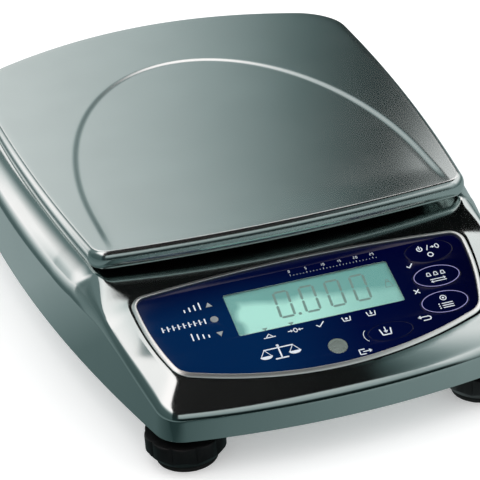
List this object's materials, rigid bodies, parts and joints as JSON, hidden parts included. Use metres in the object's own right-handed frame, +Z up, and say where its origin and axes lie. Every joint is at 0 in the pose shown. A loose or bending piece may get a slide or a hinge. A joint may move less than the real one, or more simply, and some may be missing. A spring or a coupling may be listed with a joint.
{
  "type": "bench scale",
  "caption": "Compact electronic bench scale: stainless lift-off pan with a pressed arch, stainless housing, sloping blue display and key panel, black levelling feet.",
  "frame": {"origin": "on the floor, under the middle of the housing", "axes": "+X to the right as the user faces the display, +Y to the rear, +Z up"},
  "size_m": [0.215, 0.32, 0.07],
  "materials": {
    "stainless": "satin stainless steel, fine grain",
    "cast_alloy": "die-cast alloy, as cast",
    "zinc_steel": "bright zinc-plated steel",
    "panel_film": "dark blue printed film, semi-gloss",
    "display_glass": "clear, polished",
    "display_face": "mint-green reflective liquid-crystal face",
    "lamp_lens": "grey translucent lens",
    "circuit_board": "green solder resist",
    "foot_plastic": "black moulded, matt",
    "rubber": "black rubber, matt",
    "battery_case": "dark grey moulded case"
  },
  "bodies": {
    "base": {"base_seal": "rubber", "base_tray": "cast_alloy", "battery": "battery_case", "battery_cover": "foot_plastic", "board_screw_1": "zinc_steel", "board_screw_2": "zinc_steel", "board_screw_3": "zinc_steel", "board_screw_4": "zinc_steel", "cell_fixing_screw_1": "zinc_steel", "cell_fixing_screw_2": "zinc_steel", "cover_screw_1": "zinc_steel", "cover_screw_2": "zinc_steel", "display_module": "display_face", "display_window": "display_glass", "foot_nut_1": "zinc_steel", "foot_nut_2": "zinc_steel", "foot_nut_3": "zinc_steel", "foot_nut_4": "zinc_steel", "housing_screw_1": "zinc_steel", "housing_screw_2": "zinc_steel", "housing_screw_3": "zinc_steel", "housing_screw_4": "zinc_steel", "key_board": "circuit_board", "lamp_accept": "lamp_lens", "lamp_over": "lamp_lens", "lamp_under": "lamp_lens", "level_cup": "foot_plastic", "level_vial": "display_glass", "level_window": "display_glass", "load_cell": "cast_alloy", "load_cell_spacer": "zinc_steel", "main_board": "circuit_board", "overload_stop": "zinc_steel", "panel_overlay": "panel_film", "post_boot": "rubber", "power_jack": "foot_plastic", "top_housing": "stainless"},
    "platform": {"platform_spider": "cast_alloy", "platform_post": "cast_alloy", "pan_pad_1": "rubber", "pan_pad_2": "rubber", "pan_pad_3": "rubber", "pan_pad_4": "rubber", "cell_platform_screw_1": "zinc_steel", "cell_platform_screw_2": "zinc_steel"},
    "pan": {"pan": "stainless"},
    "key_power_body": {"key_power": "panel_film"},
    "key_unit_body": {"key_unit": "panel_film"},
    "key_menu_body": {"key_menu": "panel_film"},
    "key_tare_body": {"key_tare": "panel_film"},
    "foot_1_pad": {"foot_pad_1": "rubber"},
    "foot_1_wheel": {"foot_wheel_1": "foot_plastic"},
    "foot_2_pad": {"foot_pad_2": "rubber"},
    "foot_2_wheel": {"foot_wheel_2": "foot_plastic"},
    "foot_3_pad": {"foot_pad_3": "rubber"},
    "foot_3_wheel": {"foot_wheel_3": "foot_plastic"},
    "foot_4_pad": {"foot_pad_4": "rubber"},
    "foot_4_wheel": {"foot_wheel_4": "foot_plastic"}
  },
  "joints": [
    {"name": "platform_load", "type": "slide", "parent": "base", "child": "platform", "axis": [0, 0, 1], "range_m": [-0.0005, 0], "stiffness_N_per_m": 147000, "springref_m": 0.0001, "deforming": ["load_cell"]},
    {"name": "pan_lift", "type": "slide", "parent": "platform", "child": "pan", "axis": [0, 0, 1], "range_m": [0, 0.06]},
    {"name": "key_power_press", "type": "slide", "parent": "base", "child": "key_power_body", "axis": [0, 0.309, -0.9511], "range_m": [0, 0.0005], "stiffness_N_per_m": 2000, "springref_m": -0.0004},
    {"name": "key_unit_press", "type": "slide", "parent": "base", "child": "key_unit_body", "axis": [0, 0.309, -0.9511], "range_m": [0, 0.0005], "stiffness_N_per_m": 2000, "springref_m": -0.0004},
    {"name": "key_menu_press", "type": "slide", "parent": "base", "child": "key_menu_body", "axis": [0, 0.309, -0.9511], "range_m": [0, 0.0005], "stiffness_N_per_m": 2000, "springref_m": -0.0004},
    {"name": "key_tare_press", "type": "slide", "parent": "base", "child": "key_tare_body", "axis": [0, 0.309, -0.9511], "range_m": [0, 0.0005], "stiffness_N_per_m": 2000, "springref_m": -0.0004},
    {"name": "foot_1_extend", "type": "slide", "parent": "base", "child": "foot_1_pad", "axis": [0, 0, -1], "range_m": [-0.0025, 0.005]},
    {"name": "foot_1_turn", "type": "hinge", "parent": "foot_1_pad", "child": "foot_1_wheel", "pos_m": [-0.066, -0.137, 0.0079], "axis": [0, 0, 1], "range_deg": [-722, 1442]},
    {"name": "foot_2_extend", "type": "slide", "parent": "base", "child": "foot_2_pad", "axis": [0, 0, -1], "range_m": [-0.0025, 0.005]},
    {"name": "foot_2_turn", "type": "hinge", "parent": "foot_2_pad", "child": "foot_2_wheel", "pos_m": [0.066, -0.137, 0.0079], "axis": [0, 0, 1], "range_deg": [-722, 1442]},
    {"name": "foot_3_extend", "type": "slide", "parent": "base", "child": "foot_3_pad", "axis": [0, 0, -1], "range_m": [-0.0025, 0.005]},
    {"name": "foot_3_turn", "type": "hinge", "parent": "foot_3_pad", "child": "foot_3_wheel", "pos_m": [-0.078, 0.114, 0.0079], "axis": [0, 0, 1], "range_deg": [-722, 1442]},
    {"name": "foot_4_extend", "type": "slide", "parent": "base", "child": "foot_4_pad", "axis": [0, 0, -1], "range_m": [-0.0025, 0.005]},
    {"name": "foot_4_turn", "type": "hinge", "parent": "foot_4_pad", "child": "foot_4_wheel", "pos_m": [0.078, 0.114, 0.0079], "axis": [0, 0, 1], "range_deg": [-722, 1442]}
  ],
  "couplings": [
    {"joint": "foot_1_turn", "follows": "foot_1_extend", "rad_per_m": 5026.5},
    {"joint": "foot_2_turn", "follows": "foot_2_extend", "rad_per_m": 5026.5},
    {"joint": "foot_3_turn", "follows": "foot_3_extend", "rad_per_m": 5026.5},
    {"joint": "foot_4_turn", "follows": "foot_4_extend", "rad_per_m": 5026.5}
  ]
}
